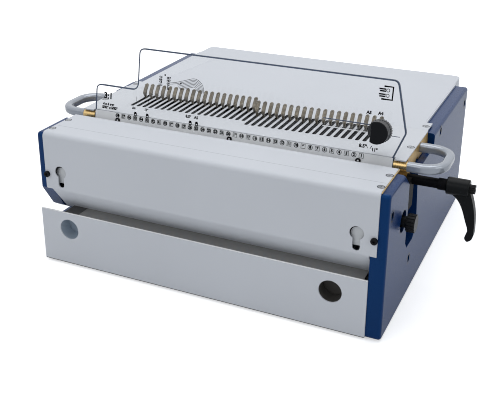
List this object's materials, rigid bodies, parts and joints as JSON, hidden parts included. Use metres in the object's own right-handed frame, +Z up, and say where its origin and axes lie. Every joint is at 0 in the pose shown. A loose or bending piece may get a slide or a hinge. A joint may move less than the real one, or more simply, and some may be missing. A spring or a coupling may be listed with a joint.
{
  "type": "electric binding punch",
  "caption": "Desk-top electric sheet punch for wire binding: slide-out row die with selectable square pins, clear side-stop plate, clamp lever, D handles and chip drawer.",
  "frame": {"origin": "middle of the whole part's outline, on the floor under its feet", "axes": "+X towards the clamp lever end, +Y to the back with mains inlet, +Z up"},
  "size_m": [0.531, 0.4324, 0.257],
  "materials": {
    "blue_frame": "blue powder coat, fine satin texture",
    "grey_cover": "light grey powder-coated sheet, satin",
    "light_sheet": "light grey satin sheet",
    "bright_screw": "bright zinc-plated steel",
    "black_screw": "black oxide steel",
    "black_steel": "black oxide steel",
    "black_plastic": "moulded black plastic",
    "switch_plastic": "glossy black rocker",
    "lever_black": "fine-grained black moulding",
    "knob_black": "ribbed black moulding",
    "white_plastic": "slippery white plastic",
    "dark_bracket": "dark grey paint",
    "foot_rubber": "matt black rubber",
    "zinc_sheet": "zinc-plated sheet",
    "steel_bar": "ground steel",
    "tool_steel": "hardened tool steel",
    "pin_steel": "ground square pins",
    "cast_block": "cast block",
    "motor_paint": "dark painted motor case",
    "board_green": "circuit board with moulded parts",
    "brass_block": "yellow-passivated bar, satin",
    "brass_bar": "yellow-passivated round bar",
    "finger_bronze": "bronze-coloured pressed fingers",
    "handle_grey": "grey moulded handle",
    "clear_acrylic": "clear acrylic sheet, polished edges"
  },
  "bodies": {
    "housing": {"left_side_frame": "blue_frame", "right_side_frame": "blue_frame", "base_plate": "zinc_sheet", "rubber_feet": "foot_rubber", "front_cover": "grey_cover", "front_cover_screws": "bright_screw", "front_socket_screws": "black_screw", "keyhole_plates": "zinc_sheet", "rear_cover": "grey_cover", "rear_cover_screws": "bright_screw", "rear_panel": "zinc_sheet", "mains_inlet": "black_plastic", "switch_bezel": "black_plastic", "fuse_holder": "black_plastic", "foot_switch_socket": "black_plastic", "drawer_runners": "white_plastic", "trough_bracket": "dark_bracket", "chip_chute": "zinc_sheet", "die_rails": "steel_bar", "shaft_bearings": "cast_block", "press_guides": "cast_block", "gearbox": "cast_block", "motor": "motor_paint", "motor_bracket": "zinc_sheet", "control_board": "board_green", "margin_shaft_blocks": "cast_block"},
    "rocker": {"rocker_switch": "switch_plastic"},
    "chip_drawer": {"drawer_front": "grey_cover", "drawer_tray": "zinc_sheet"},
    "drive": {"drive_shaft": "steel_bar", "eccentrics": "cast_block"},
    "press": {"press_bar": "steel_bar"},
    "die": {"die_top_plate": "light_sheet", "die_top_screws": "bright_screw", "end_blocks": "brass_block", "end_spacers": "brass_bar", "guide_block": "tool_steel", "matrix_plate": "tool_steel", "die_base": "tool_steel", "handles": "handle_grey", "clear_plate": "clear_acrylic", "stop_rail": "clear_acrylic", "plate_screws": "black_screw", "clamp_plate": "black_steel"},
    "pins": {"punch_pins": "pin_steel"},
    "side_stop": {"side_stop_dial": "black_plastic", "dial_spindle": "steel_bar"},
    "clamp": {"clamp_stud": "black_steel", "lever_screw": "black_screw"},
    "lever": {"clamp_lever": "lever_black"},
    "knob": {"margin_knob": "knob_black", "margin_shaft": "steel_bar"},
    "body_fingers_1_to_24": {"fingers_1_to_24": "finger_bronze"},
    "body_finger_25": {"finger_25": "finger_bronze"},
    "body_finger_26": {"finger_26": "finger_bronze"},
    "body_fingers_27_to_32": {"fingers_27_to_32": "finger_bronze"},
    "body_finger_33": {"finger_33": "finger_bronze"},
    "body_finger_34": {"finger_34": "finger_bronze"},
    "body_finger_35": {"finger_35": "finger_bronze"},
    "body_fingers_36_to_38": {"fingers_36_to_38": "finger_bronze"}
  },
  "joints": [
    {"name": "power_rocker", "type": "hinge", "parent": "housing", "child": "rocker", "pos_m": [0.023, 0.2082, 0.068], "axis": [1, 0, 0], "range_deg": [0, 14]},
    {"name": "chip_drawer_slide", "type": "slide", "parent": "housing", "child": "chip_drawer", "axis": [0, -1, 0], "range_m": [0, 0.18]},
    {"name": "drive_turn", "type": "hinge", "parent": "housing", "child": "drive", "pos_m": [-0.017, -0.0618, 0.106], "axis": [1, 0, 0], "range_deg": [0, 180]},
    {"name": "press_stroke", "type": "slide", "parent": "housing", "child": "press", "axis": [0, -1, 0], "range_m": [0, 0.018]},
    {"name": "die_slide", "type": "slide", "parent": "housing", "child": "die", "axis": [1, 0, 0], "range_m": [0, 0.4]},
    {"name": "punch_stroke", "type": "slide", "parent": "die", "child": "pins", "axis": [0, -1, 0], "range_m": [0, 0.018]},
    {"name": "side_stop_turn", "type": "hinge", "parent": "die", "child": "side_stop", "pos_m": [0.158, -0.1182, 0.2015], "axis": [0, -0.9848, 0.1736], "range_deg": [0, 270]},
    {"name": "clamp_turn", "type": "hinge", "parent": "die", "child": "clamp", "pos_m": [0.213, -0.1118, 0.149], "axis": [1, 0, 0], "range_deg": [-45, 135]},
    {"name": "lever_lift", "type": "slide", "parent": "clamp", "child": "lever", "axis": [1, 0, 0], "range_m": [0, 0.004], "stiffness_N_per_m": 400},
    {"name": "margin_turn", "type": "hinge", "parent": "housing", "child": "knob", "pos_m": [0.203, -0.1503, 0.1155], "axis": [1, 0, 0], "range_deg": [-90, 90]},
    {"name": "fingers_1_to_24_lift", "type": "slide", "parent": "pins", "child": "body_fingers_1_to_24", "axis": [0, 0, 1], "range_m": [0, 0.004]},
    {"name": "finger_25_lift", "type": "slide", "parent": "pins", "child": "body_finger_25", "axis": [0, 0, 1], "range_m": [0, 0.004]},
    {"name": "finger_26_lift", "type": "slide", "parent": "pins", "child": "body_finger_26", "axis": [0, 0, 1], "range_m": [0, 0.004]},
    {"name": "fingers_27_to_32_lift", "type": "slide", "parent": "pins", "child": "body_fingers_27_to_32", "axis": [0, 0, 1], "range_m": [0, 0.004]},
    {"name": "finger_33_lift", "type": "slide", "parent": "pins", "child": "body_finger_33", "axis": [0, 0, 1], "range_m": [0, 0.004]},
    {"name": "finger_34_lift", "type": "slide", "parent": "pins", "child": "body_finger_34", "axis": [0, 0, 1], "range_m": [0, 0.004]},
    {"name": "finger_35_lift", "type": "slide", "parent": "pins", "child": "body_finger_35", "axis": [0, 0, 1], "range_m": [0, 0.004]},
    {"name": "fingers_36_to_38_lift", "type": "slide", "parent": "pins", "child": "body_fingers_36_to_38", "axis": [0, 0, 1], "range_m": [0, 0.004]}
  ],
  "couplings": [
    {"joint": "drive_turn", "follows": "press_stroke", "rad_per_m": 174.53},
    {"joint": "punch_stroke", "follows": "press_stroke", "ratio": 1}
  ]
}
